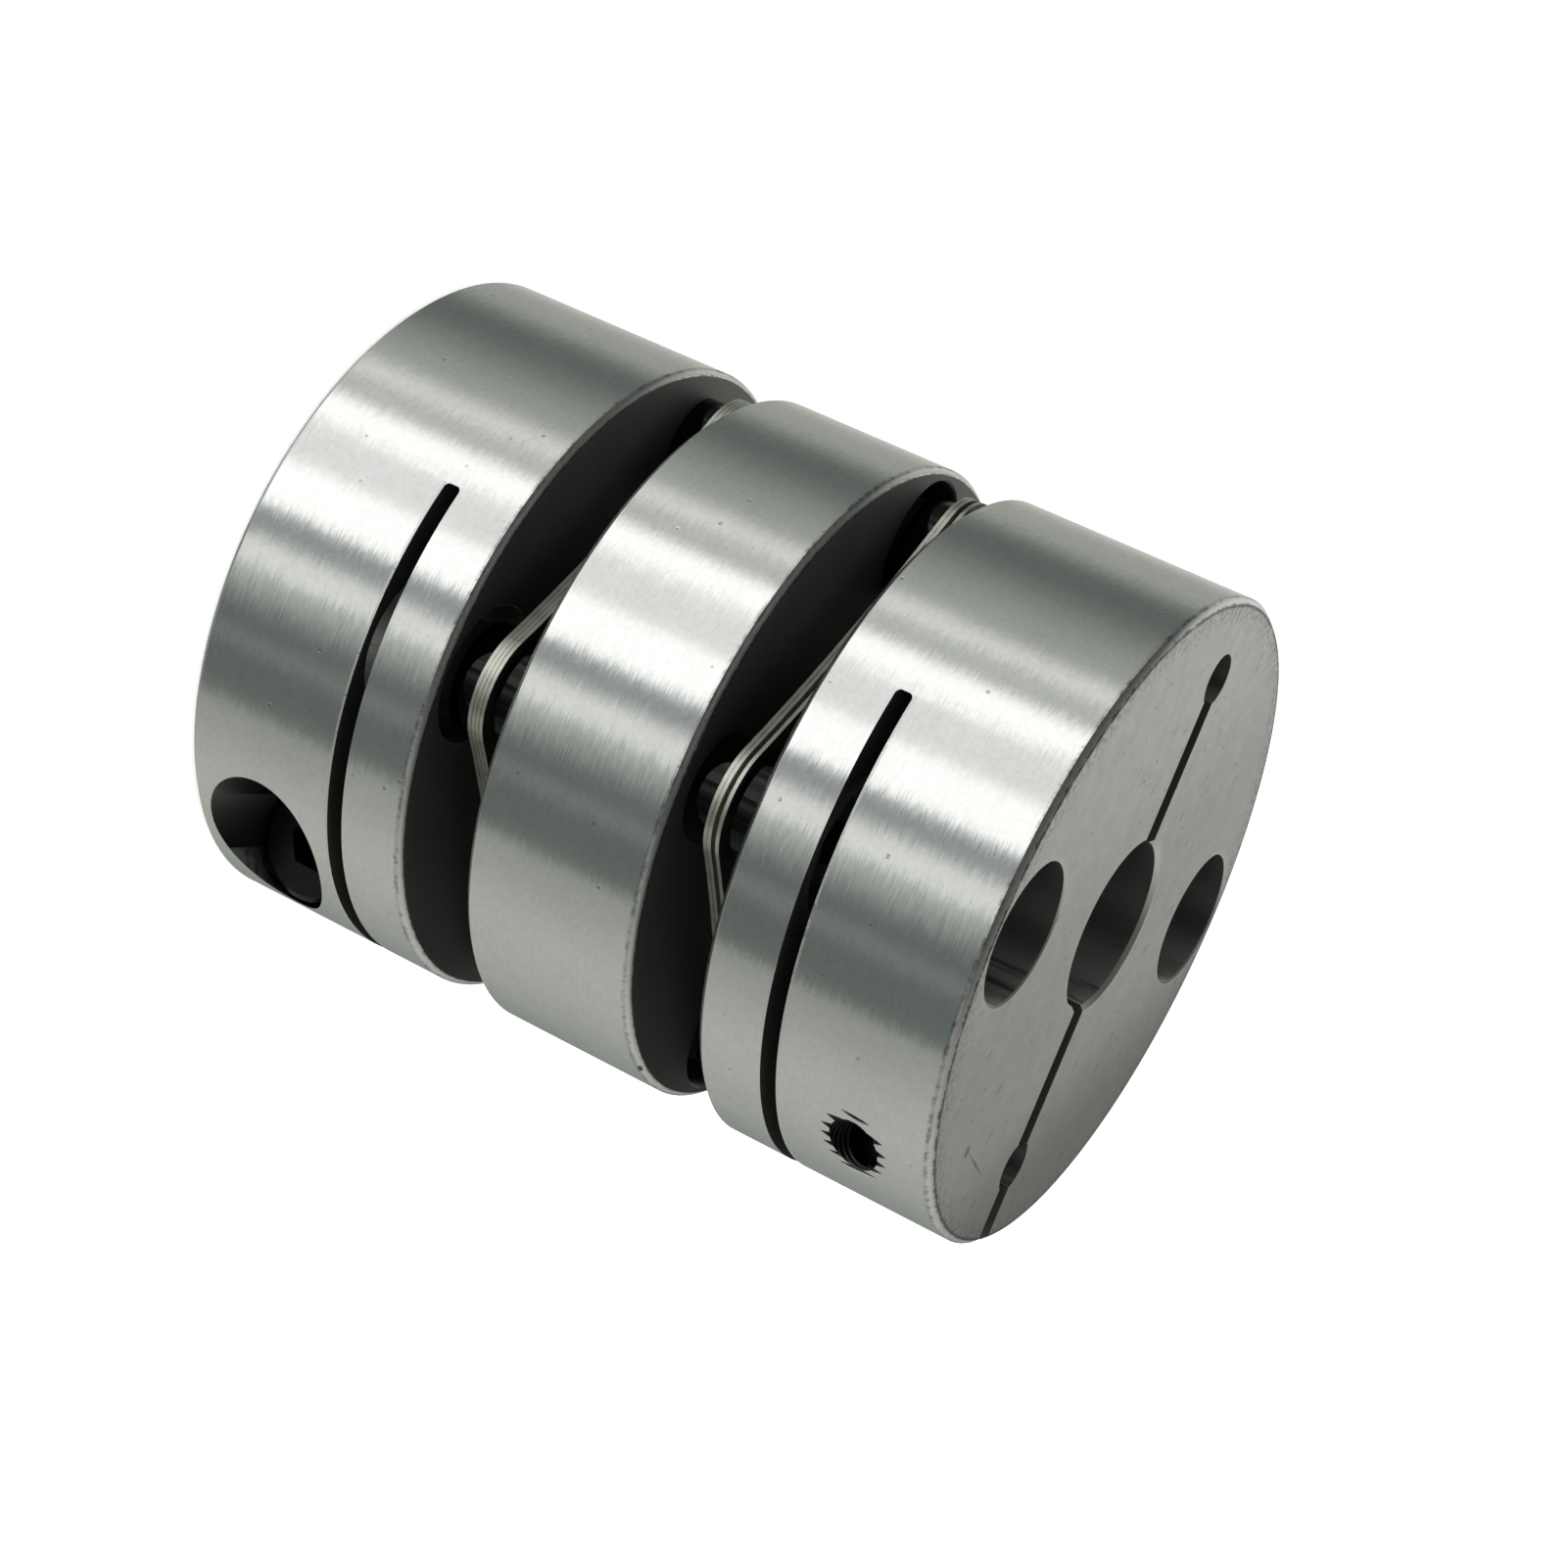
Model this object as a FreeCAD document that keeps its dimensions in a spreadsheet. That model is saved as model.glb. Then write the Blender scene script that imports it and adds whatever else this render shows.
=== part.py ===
import FreeCAD, Part
import math
import os

import Sketcher
from FreeCAD import Placement, Rotation, Vector

# Disc coupling: two clamp hubs and a centre spacer in line, joined by two packs of thin steel leaves.
# The axis is +Z, the origin is the centre of the lower hub's end face, and lengths are in millimetres.
# The slits of both hubs open towards +X. Each pack has four lobes: the two on X are screwed to the hub,
# and the two on Y to the spacer.

SIZES = {
    # Turned bodies
    "body_diameter": 39.0,
    "rim_chamfer": 0.35,
    "hub_length": 14.7,
    "bore_diameter": 10.0,
    "spacer_length": 10.9,
    "spacer_inner_wall": 2.1,
    "hole_chamfer": 0.25,
    # Leaf packs, whose screws lie on a pitch circle at a distance from the rim of the turned bodies
    "pitch_rim_distance": 4.8,
    "leaf_thickness": 0.25,
    "lobe_radius": 3.8,
    "side_hollow": 0.45,
    "lobe_inner_margin": 0.9,
    "inner_leaf_inset": 0.45,
    # Collars on both sides of each lobe
    "collar_diameter": 6.4,
    "collar_length": 1.675,
    # Holes on the pitch circle, with radial clearances
    "access_hole_diameter": 8.2,
    "access_chamfer": 0.1,
    "screw_passage_clearance": 0.1,
    "screw_thread_clearance": 0.05,
    # Pack screws
    "pack_screw_diameter": 3.0,
    "pack_screw_engagement": 3.65,
    "pack_head_diameter": 5.5,
    "pack_head_length": 3.0,
    "pack_socket_width": 2.5,
    "pack_socket_depth": 1.5,
    # Clamp of a hub: radial slot, axial slit and the hole for the screw across it
    "clamp_width": 9.65,
    "slot_width": 1.0,
    "slot_corner_radius": 0.3,
    "web_thickness": 10.3,
    "slit_width": 1.5,
    "clamp_screw_rim_distance": 5.0,
    "clamp_seat_distance": 3.4,
    "clamp_passage_clearance": 0.15,
    "clamp_thread_clearance": 0.05,
    "counterbore_clearance": 0.3,
    # Clamp screws
    "clamp_screw_diameter": 4.0,
    "clamp_screw_length": 12.0,
    "clamp_head_diameter": 7.0,
    "clamp_head_length": 4.0,
    "clamp_socket_width": 3.0,
    "clamp_socket_depth": 2.0,
    # Edge breaks of all screws
    "head_chamfer": 0.3,
    "point_chamfer": 0.4,
    # How far a cutting profile runs past the face that it starts from
    "cut_overrun": 1.0,
}

# Leaves in one pack, counted from below, and the leaf of the upper pack whose outline is set in
LEAF_COUNT = 4
INSET_LEAF = 3

# Expressions for sizes and heights that follow from the driving ones
BODY_RADIUS = "sizes.body_diameter / 2"
PITCH_RADIUS = "(sizes.body_diameter / 2 - sizes.pitch_rim_distance)"
CLAMP_SCREW_DISTANCE = "(sizes.body_diameter / 2 - sizes.clamp_screw_rim_distance)"
SPACER_OPENING_RADIUS = f"({PITCH_RADIUS} - sizes.access_hole_diameter / 2 - sizes.spacer_inner_wall)"
LEAF_OPENING_RADIUS = f"({PITCH_RADIUS} - sizes.lobe_radius - sizes.lobe_inner_margin)"
GAP = f"(2 * sizes.collar_length + {LEAF_COUNT} * sizes.leaf_thickness)"
SPACER_BOTTOM = f"(sizes.hub_length + {GAP})"
SPACER_TOP = f"({SPACER_BOTTOM} + sizes.spacer_length)"
TOTAL_LENGTH = f"({SPACER_TOP} + {GAP} + sizes.hub_length)"
THREADED_HOLE_RADIUS = "sizes.pack_screw_diameter / 2 + sizes.screw_thread_clearance"
PASSAGE_RADIUS = "sizes.pack_screw_diameter / 2 + sizes.screw_passage_clearance"

# The four lobes of a pack: name, direction in X and Y, and whether the lobe is screwed to the hub
LOBES = (
    ("open_side", 1, 0, True),
    ("left", 0, 1, False),
    ("web_side", -1, 0, True),
    ("right", 0, -1, False),
)

doc = FreeCAD.newDocument("disc_coupling")
sheet = doc.addObject("Spreadsheet::Sheet", "sizes")
for row, (alias, size) in enumerate(SIZES.items(), start=1):
    sheet.set(f"A{row}", alias)
    sheet.set(f"B{row}", str(size))
    sheet.setAlias(f"B{row}", alias)
doc.recompute()


# Sketches tied to the sheet

def value_of(expression):
    """The present value of an expression, in millimetres."""
    return float(sheet.evalExpression(expression))


def new_body(label):
    body = doc.addObject("PartDesign::Body", label)
    body.Label = label
    return body


def origin_part(body, role):
    return next(part for part in body.Origin.OriginFeatures if part.Role == role)


def new_sketch(body, name, plane, height=None):
    """An empty sketch on an origin plane of the body, or on a plane beside it at a height."""
    sketch = body.newObject("Sketcher::SketchObject", name)
    sketch.AttachmentSupport = [(origin_part(body, plane), "")]
    sketch.MapMode = "FlatFace"
    if height is not None:
        sketch.setExpression("AttachmentOffset.Base.z", height)
    return sketch


def bind(sketch, constraint, expression):
    index = sketch.addConstraint(constraint)
    sketch.setExpression(f"Constraints[{index}]", expression)


def place_point(sketch, geometry, point, x, y):
    """Ties a point of a sketch to expressions for x and y, where None means on that axis."""
    if x is None:
        sketch.addConstraint(Sketcher.Constraint("PointOnObject", geometry, point, -2))
    else:
        bind(sketch, Sketcher.Constraint("DistanceX", -1, 1, geometry, point, value_of(x)), x)
    if y is None:
        sketch.addConstraint(Sketcher.Constraint("PointOnObject", geometry, point, -1))
    else:
        bind(sketch, Sketcher.Constraint("DistanceY", -1, 1, geometry, point, value_of(y)), y)


def guess(x, y):
    return Vector(value_of(x) if x else 0.0, value_of(y) if y else 0.0, 0)


def add_circle(sketch, x, y, radius):
    circle = sketch.addGeometry(Part.Circle(guess(x, y), Vector(0, 0, 1), value_of(radius)), False)
    bind(sketch, Sketcher.Constraint("Radius", circle, value_of(radius)), radius)
    place_point(sketch, circle, 3, x, y)


def add_outline(sketch, corners):
    """A closed outline of straight lines through corners given as pairs of expressions."""
    points = [guess(x, y) for x, y in corners]
    lines = [
        sketch.addGeometry(Part.LineSegment(start, end), False)
        for start, end in zip(points, points[1:] + points[:1])
    ]
    for line, following in zip(lines, lines[1:] + lines[:1]):
        sketch.addConstraint(Sketcher.Constraint("Coincident", line, 2, following, 1))
    for line, (x, y) in zip(lines, corners):
        place_point(sketch, line, 1, x, y)
    return lines


def add_slot_outline(sketch, mouth, stop, bottom, top):
    """A slot from its open mouth to its stop, where worn saw teeth leave rounded corners."""
    turn = f"{stop} + sizes.slot_corner_radius"
    low_turn = f"{bottom} + sizes.slot_corner_radius"
    high_turn = f"{top} - sizes.slot_corner_radius"

    def line(start, end):
        drawn = sketch.addGeometry(Part.LineSegment(guess(*start), guess(*end)), False)
        place_point(sketch, drawn, 1, *start)
        place_point(sketch, drawn, 2, *end)
        return drawn

    def corner(height, start_angle):
        circle = Part.Circle(guess(turn, height), Vector(0, 0, 1), value_of("sizes.slot_corner_radius"))
        quarter = Part.ArcOfCircle(circle, math.radians(start_angle), math.radians(start_angle + 90))
        drawn = sketch.addGeometry(quarter, False)
        bind(sketch, Sketcher.Constraint("DistanceX", -1, 1, drawn, 3, value_of(turn)), turn)
        return drawn

    closed_end = line((stop, high_turn), (stop, low_turn))
    low_corner = corner(low_turn, 180)
    low_side = line((turn, bottom), (mouth, bottom))
    high_side = line((mouth, top), (turn, top))
    high_corner = corner(high_turn, 90)
    open_end = sketch.addGeometry(Part.LineSegment(guess(mouth, bottom), guess(mouth, top)), False)
    outline = [closed_end, low_corner, low_side, open_end, high_side, high_corner]
    for edge, following in zip(outline, outline[1:] + outline[:1]):
        sketch.addConstraint(Sketcher.Constraint("Coincident", edge, 2, following, 1))


def add_axis(sketch, distance, end):
    """A construction line parallel to the sketch's upright axis, as an axis to revolve about."""
    axis = sketch.addGeometry(Part.LineSegment(guess(distance, None), guess(distance, end)), True)
    place_point(sketch, axis, 1, distance, None)
    place_point(sketch, axis, 2, distance, end)


# Features, each checked for what it adds or takes away

def volume_after(body):
    doc.recompute()
    return body.Shape.Volume


def require_cut(body, feature, volume_before):
    if volume_after(body) >= volume_before:
        raise RuntimeError(f"{body.Label}: {feature.Name} cuts nothing")


def revolve(body, name, corners):
    """A turned solid from its half section: x is the distance from the axis, y the height."""
    sketch = new_sketch(body, f"{name}_section", "XZ_Plane")
    add_outline(sketch, corners)
    feature = body.newObject("PartDesign::Revolution", name)
    feature.Profile = sketch
    feature.ReferenceAxis = (sketch, ["V_Axis"])
    feature.Angle = 360
    return feature


def bore_hole(body, name, plane, distance, section, height=None):
    """Cuts a round stepped hole: section lists pairs of radius and place along the hole's axis."""
    before = volume_after(body)
    sketch = new_sketch(body, f"{name}_section", plane, height)
    ends = [(distance, section[0][1]), (distance, section[-1][1])]
    steps = [(f"{distance} + {radius}", along) for radius, along in section]
    add_outline(sketch, [ends[0], *steps, ends[1]])
    add_axis(sketch, distance, section[-1][1])
    feature = body.newObject("PartDesign::Groove", name)
    feature.Profile = sketch
    feature.ReferenceAxis = (sketch, ["Axis0"])
    feature.Angle = 360
    require_cut(body, feature, before)
    return feature


def repeat_opposite(body, feature):
    """Repeats a cut on the other side of the body's axis."""
    before = volume_after(body)
    pattern = body.newObject("PartDesign::PolarPattern", f"{feature.Name}_pair")
    pattern.Originals = [feature]
    pattern.Axis = (origin_part(body, "Z_Axis"), [""])
    pattern.Angle = 360
    pattern.Occurrences = 2
    body.Tip = pattern
    require_cut(body, pattern, before)


def pocket(body, name, sketch, depth=None, reverse=False):
    """A pocket of a given depth, or right through on both sides of the sketch."""
    before = volume_after(body)
    feature = body.newObject("PartDesign::Pocket", name)
    feature.Profile = sketch
    if depth is None:
        feature.Type = "ThroughAll"
        feature.SideType = "Symmetric"
    else:
        feature.setExpression("Length", depth)
        feature.Reversed = reverse
    require_cut(body, feature, before)


def place(body, x=None, y=None, z=None, rotation=None):
    """Puts a finished body at its place in the coupling."""
    if rotation:
        body.Placement = Placement(Vector(0, 0, 0), rotation)
    for axis, expression in (("x", x), ("y", y), ("z", z)):
        if expression:
            body.setExpression(f"Placement.Base.{axis}", expression)


def ring_section(inner_radius, inner_chamfer, length):
    """Half section of a turned body with both rims and both mouths of its bore broken."""
    return [
        (f"{inner_radius} + {inner_chamfer}", None),
        (f"{BODY_RADIUS} - sizes.rim_chamfer", None),
        (BODY_RADIUS, "sizes.rim_chamfer"),
        (BODY_RADIUS, f"{length} - sizes.rim_chamfer"),
        (f"{BODY_RADIUS} - sizes.rim_chamfer", length),
        (f"{inner_radius} + {inner_chamfer}", length),
        (inner_radius, f"{length} - {inner_chamfer}"),
        (inner_radius, inner_chamfer),
    ]


def chamfered_hole(radius, chamfer, length):
    """Section of a through hole with both mouths broken, run on past both faces."""
    wide = f"{radius} + {chamfer} + sizes.cut_overrun"
    return [
        (wide, "-sizes.cut_overrun"),
        (radius, chamfer),
        (radius, f"{length} - {chamfer}"),
        (wide, f"{length} + sizes.cut_overrun"),
    ]


def plain_hole(radius, length):
    return [(radius, "-sizes.cut_overrun"), (radius, f"{length} + sizes.cut_overrun")]


# Clamp hub: its end face lies at zero and its flange faces the leaf pack

def clamp_hub(label):
    body = new_body(label)
    revolve(body, "turned_blank", ring_section("sizes.bore_diameter / 2", "sizes.hole_chamfer", "sizes.hub_length"))

    # Holes through which the screws of the spacer are reached, and in which their heads lie
    access = chamfered_hole("sizes.access_hole_diameter / 2", "sizes.access_chamfer", "sizes.hub_length")
    repeat_opposite(body, bore_hole(body, "access_hole", "YZ_Plane", PITCH_RADIUS, access))

    # Threaded holes for the screws of the hub's own lobes, drilled right through
    threaded = plain_hole(THREADED_HOLE_RADIUS, "sizes.hub_length")
    repeat_opposite(body, bore_hole(body, "pack_hole", "XZ_Plane", PITCH_RADIUS, threaded))

    # Radial slot that frees the clamp from the flange and leaves a web at its closed end
    slot = new_sketch(body, "slot_outline", "XZ_Plane")
    slot_mouth = f"{BODY_RADIUS} + sizes.cut_overrun"
    slot_stop = f"sizes.web_thickness - {BODY_RADIUS}"
    slot_top = "sizes.clamp_width + sizes.slot_width"
    add_slot_outline(slot, slot_mouth, slot_stop, "sizes.clamp_width", slot_top)
    pocket(body, "radial_slot", slot)

    # Axial slit from the closed side's screw hole across the bore to the open side, down to the slot
    slit = new_sketch(body, "slit_outline", "XY_Plane")
    add_outline(slit, [
        (f"-{PITCH_RADIUS}", "-sizes.slit_width / 2"),
        (slot_mouth, "-sizes.slit_width / 2"),
        (slot_mouth, "sizes.slit_width / 2"),
        (f"-{PITCH_RADIUS}", "sizes.slit_width / 2"),
    ])
    pocket(body, "axial_slit", slit, "sizes.clamp_width + sizes.slot_width / 2", reverse=True)

    # Clamp screw hole across the slit: head room and passage on one jaw, thread in the other
    head_room = "sizes.clamp_head_diameter / 2 + sizes.counterbore_clearance"
    passage = "sizes.clamp_screw_diameter / 2 + sizes.clamp_passage_clearance"
    thread = "sizes.clamp_screw_diameter / 2 + sizes.clamp_thread_clearance"
    bore_hole(body, "clamp_hole", "XY_Plane", CLAMP_SCREW_DISTANCE, [
        (head_room, f"-{BODY_RADIUS}"),
        (head_room, "-sizes.clamp_seat_distance"),
        (passage, "-sizes.clamp_seat_distance"),
        (passage, None),
        (thread, None),
        (thread, BODY_RADIUS),
    ], height="sizes.clamp_width / 2")
    return body


# Centre spacer: head holes on X for the screws of the hubs, threaded holes on Y for its own

def centre_spacer(label):
    body = new_body(label)
    blank = ring_section(SPACER_OPENING_RADIUS, "sizes.hole_chamfer", "sizes.spacer_length")
    revolve(body, "turned_blank", blank)
    head_hole = chamfered_hole("sizes.access_hole_diameter / 2", "sizes.access_chamfer", "sizes.spacer_length")
    repeat_opposite(body, bore_hole(body, "head_hole", "XZ_Plane", PITCH_RADIUS, head_hole))
    threaded = plain_hole(THREADED_HOLE_RADIUS, "sizes.spacer_length")
    repeat_opposite(body, bore_hole(body, "pack_hole", "YZ_Plane", PITCH_RADIUS, threaded))
    return body


# Leaf: four round lobes joined by slightly hollow sides, with an opening in the middle

def turned(vector, degrees):
    return Rotation(Vector(0, 0, 1), degrees).multVec(vector)


def add_leaf_outline(sketch, inset):
    """Lobe arcs on the axes and side arcs on the diagonals, each tangent to the next."""
    lobe_radius = f"sizes.lobe_radius - {inset}"

    # A side's centre lies out on the diagonal, where its circle touches the circles of both lobes
    centre_distance = (
        f"(({PITCH_RADIUS})^2 / 2 + sqrt(2) * {PITCH_RADIUS} * sizes.side_hollow - sizes.side_hollow^2)"
        " / (2 * sizes.side_hollow)"
    )
    side_distance = f"({PITCH_RADIUS} / sqrt(2) + sizes.lobe_radius - sizes.side_hollow - {inset})"
    side_radius = f"{centre_distance} - {side_distance}"

    lobe_centre = guess(PITCH_RADIUS, None)
    lobe_tip = guess(f"{PITCH_RADIUS} + {lobe_radius}", None)
    side_centre = guess(centre_distance, None)
    side_middle = guess(side_distance, None)
    to_touch = (turned(side_centre, 45) - lobe_centre).normalize() * value_of(lobe_radius)
    touch = lobe_centre + to_touch
    mirrored_touch = Vector(touch.x, -touch.y, 0)

    lobes = []
    sides = []
    for angle in (0, 90, 180, 270):
        lobe = Part.Arc(turned(mirrored_touch, angle), turned(lobe_tip, angle), turned(touch, angle))
        side = Part.Arc(
            turned(mirrored_touch, angle + 90), turned(side_middle, angle + 45), turned(touch, angle)
        )
        lobes.append(sketch.addGeometry(lobe, False))
        sides.append(sketch.addGeometry(side, False))

    for lobe, side, next_lobe in zip(lobes, sides, lobes[1:] + lobes[:1]):
        sketch.addConstraint(Sketcher.Constraint("Tangent", lobe, 2, side, 2))
        sketch.addConstraint(Sketcher.Constraint("Tangent", side, 1, next_lobe, 1))
        bind(sketch, Sketcher.Constraint("Radius", lobe, value_of(lobe_radius)), lobe_radius)
        bind(sketch, Sketcher.Constraint("Radius", side, value_of(side_radius)), side_radius)
    for lobe, (x, y) in zip(lobes, lobe_places()):
        place_point(sketch, lobe, 3, x, y)


def lobe_places():
    """Centres of the lobes as pairs of expressions, anticlockwise from +X."""
    return [
        (PITCH_RADIUS, None),
        (None, PITCH_RADIUS),
        (f"-{PITCH_RADIUS}", None),
        (None, f"-{PITCH_RADIUS}"),
    ]


def leaf(label, inset):
    body = new_body(label)
    sketch = new_sketch(body, "leaf_outline", "XY_Plane")
    add_leaf_outline(sketch, inset)
    add_circle(sketch, None, None, LEAF_OPENING_RADIUS)
    for x, y in lobe_places():
        add_circle(sketch, x, y, PASSAGE_RADIUS)
    feature = body.newObject("PartDesign::Pad", "blanked_leaf")
    feature.Profile = sketch
    feature.setExpression("Length", "sizes.leaf_thickness")
    return body


# Collar: a plain ring that holds the leaves off the body on one side and the screw's head on the other

def collar(label):
    body = new_body(label)
    revolve(body, "turned_ring", [
        (PASSAGE_RADIUS, None),
        ("sizes.collar_diameter / 2", None),
        ("sizes.collar_diameter / 2", "sizes.collar_length"),
        (PASSAGE_RADIUS, "sizes.collar_length"),
    ])
    return body


# Socket head screw: the head stands up from zero and the shank hangs down

def socket_screw(label, kind, shank_length):
    body = new_body(label)
    shank = f"sizes.{kind}_screw_diameter / 2"
    head = f"sizes.{kind}_head_diameter / 2"
    head_length = f"sizes.{kind}_head_length"
    revolve(body, "turned_screw", [
        (None, f"-{shank_length}"),
        (f"{shank} - sizes.point_chamfer", f"-{shank_length}"),
        (shank, f"sizes.point_chamfer - {shank_length}"),
        (shank, None),
        (head, None),
        (head, f"{head_length} - sizes.head_chamfer"),
        (f"{head} - sizes.head_chamfer", head_length),
        (None, head_length),
    ])
    hexagon = new_sketch(body, "socket_outline", "XY_Plane", head_length)
    corner_radius = f"sizes.{kind}_socket_width / sqrt(3)"
    corners = [
        (f"{corner_radius} * cos({angle} deg)", f"{corner_radius} * sin({angle} deg)")
        for angle in (30, 90, 150, 210, 270, 330)
    ]
    add_outline(hexagon, corners)
    pocket(body, "hexagon_socket", hexagon, f"sizes.{kind}_socket_depth")
    return body


# The coupling, from the lower hub up. Each pack sits between a hub's flange and the spacer

UPSIDE_DOWN = Rotation(Vector(1, 0, 0), 180)
TOWARDS_FRONT = Rotation(Vector(1, 0, 0), 90)
TOWARDS_BACK = Rotation(Vector(1, 0, 0), -90)

pieces = [clamp_hub("lower_clamp_hub")]

upper_hub = clamp_hub("upper_clamp_hub")
place(upper_hub, z=TOTAL_LENGTH, rotation=UPSIDE_DOWN)
pieces.append(upper_hub)

spacer = centre_spacer("centre_spacer")
place(spacer, z=SPACER_BOTTOM)
pieces.append(spacer)


def leaf_pack(pack, bottom, hub_is_below):
    """One pack: its leaves, with a collar on both sides of every lobe and a screw through each."""
    for number in range(1, LEAF_COUNT + 1):
        is_inset = not hub_is_below and number == INSET_LEAF
        body = leaf(f"{pack}_leaf_{number}", "sizes.inner_leaf_inset" if is_inset else "0")
        place(body, z=f"{bottom} + sizes.collar_length + {number - 1} * sizes.leaf_thickness")
        pieces.append(body)

    for lobe, x_step, y_step, is_hub_lobe in LOBES:
        x = f"{x_step} * {PITCH_RADIUS}"
        y = f"{y_step} * {PITCH_RADIUS}"
        upper_collar_height = f"{bottom} + sizes.collar_length + {LEAF_COUNT} * sizes.leaf_thickness"
        for side, height in (("under", bottom), ("over", upper_collar_height)):
            body = collar(f"{pack}_collar_{lobe}_{side}")
            place(body, x, y, height)
            pieces.append(body)

        # The head lies on the side away from the body that its thread is in
        head_is_up = hub_is_below == is_hub_lobe
        body = socket_screw(f"{pack}_pack_screw_{lobe}", "pack", f"({GAP} + sizes.pack_screw_engagement)")
        seat = f"{bottom} + {GAP}" if head_is_up else bottom
        place(body, x, y, seat, None if head_is_up else UPSIDE_DOWN)
        pieces.append(body)


leaf_pack("lower", "sizes.hub_length", True)
leaf_pack("upper", SPACER_TOP, False)

lower_clamp_screw = socket_screw("lower_clamp_screw", "clamp", "sizes.clamp_screw_length")
place(lower_clamp_screw, CLAMP_SCREW_DISTANCE, "-sizes.clamp_seat_distance",
      "sizes.clamp_width / 2", TOWARDS_FRONT)
pieces.append(lower_clamp_screw)

upper_clamp_screw = socket_screw("upper_clamp_screw", "clamp", "sizes.clamp_screw_length")
place(upper_clamp_screw, CLAMP_SCREW_DISTANCE, "sizes.clamp_seat_distance",
      f"{TOTAL_LENGTH} - sizes.clamp_width / 2", TOWARDS_BACK)
pieces.append(upper_clamp_screw)

# Every object must have computed, and every piece must be one valid solid, before anything is written
doc.recompute()
for item in doc.Objects:
    if "Invalid" in item.State or "Error" in item.State:
        raise RuntimeError(f"{item.Label} failed: {item.State}")
for piece in pieces:
    if piece.Shape.isNull() or not piece.Shape.isValid() or len(piece.Shape.Solids) != 1:
        raise RuntimeError(f"{piece.Label} is not one valid solid")

os.makedirs("parts", exist_ok=True)
for piece in pieces:
    piece.Shape.exportStep(f"parts/{piece.Label}.step")
print(f"{len(pieces)} pieces, {value_of(TOTAL_LENGTH):.2f} mm long")
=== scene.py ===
import math

import bmesh
import bpy
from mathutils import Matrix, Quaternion, Vector


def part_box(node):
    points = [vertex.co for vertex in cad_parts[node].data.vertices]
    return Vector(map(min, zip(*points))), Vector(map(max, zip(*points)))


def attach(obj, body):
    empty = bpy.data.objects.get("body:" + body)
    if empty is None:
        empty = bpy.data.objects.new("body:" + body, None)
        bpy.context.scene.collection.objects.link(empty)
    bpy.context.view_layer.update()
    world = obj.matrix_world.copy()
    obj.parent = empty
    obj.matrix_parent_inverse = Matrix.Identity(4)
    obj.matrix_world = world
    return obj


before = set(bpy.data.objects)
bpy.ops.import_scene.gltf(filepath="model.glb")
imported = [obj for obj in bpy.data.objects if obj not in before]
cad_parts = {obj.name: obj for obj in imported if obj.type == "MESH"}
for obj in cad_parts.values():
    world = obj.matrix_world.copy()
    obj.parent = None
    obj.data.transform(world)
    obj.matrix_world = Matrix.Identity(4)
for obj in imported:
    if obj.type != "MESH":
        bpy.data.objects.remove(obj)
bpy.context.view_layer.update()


# Clamp hubs: two equal pieces turned from aluminium bar, one at each end of the coupling.
# The walls keep the fine rings of the lathe tool, the end faces are satin with handling marks and painted
# shade to one side, and the slot, the holes and the side towards the leaf pack are painted dark as shade.

class Amount:
    """A number or vector that varies over a surface; arithmetic on it adds Math nodes."""

    def __init__(self, recipe, socket):
        self.recipe = recipe
        self.socket = socket

    def __add__(self, other):
        return self.recipe.math("ADD", self, other)

    def __radd__(self, other):
        return self.recipe.math("ADD", other, self)

    def __sub__(self, other):
        return self.recipe.math("SUBTRACT", self, other)

    def __rsub__(self, other):
        return self.recipe.math("SUBTRACT", other, self)

    def __mul__(self, other):
        return self.recipe.math("MULTIPLY", self, other)

    def __rmul__(self, other):
        return self.recipe.math("MULTIPLY", other, self)

    def __truediv__(self, other):
        return self.recipe.math("DIVIDE", self, other)

    def __gt__(self, other):
        return self.recipe.math("GREATER_THAN", self, other)

    def __lt__(self, other):
        return self.recipe.math("LESS_THAN", self, other)

    def __abs__(self):
        return self.recipe.math("ABSOLUTE", self)


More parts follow.
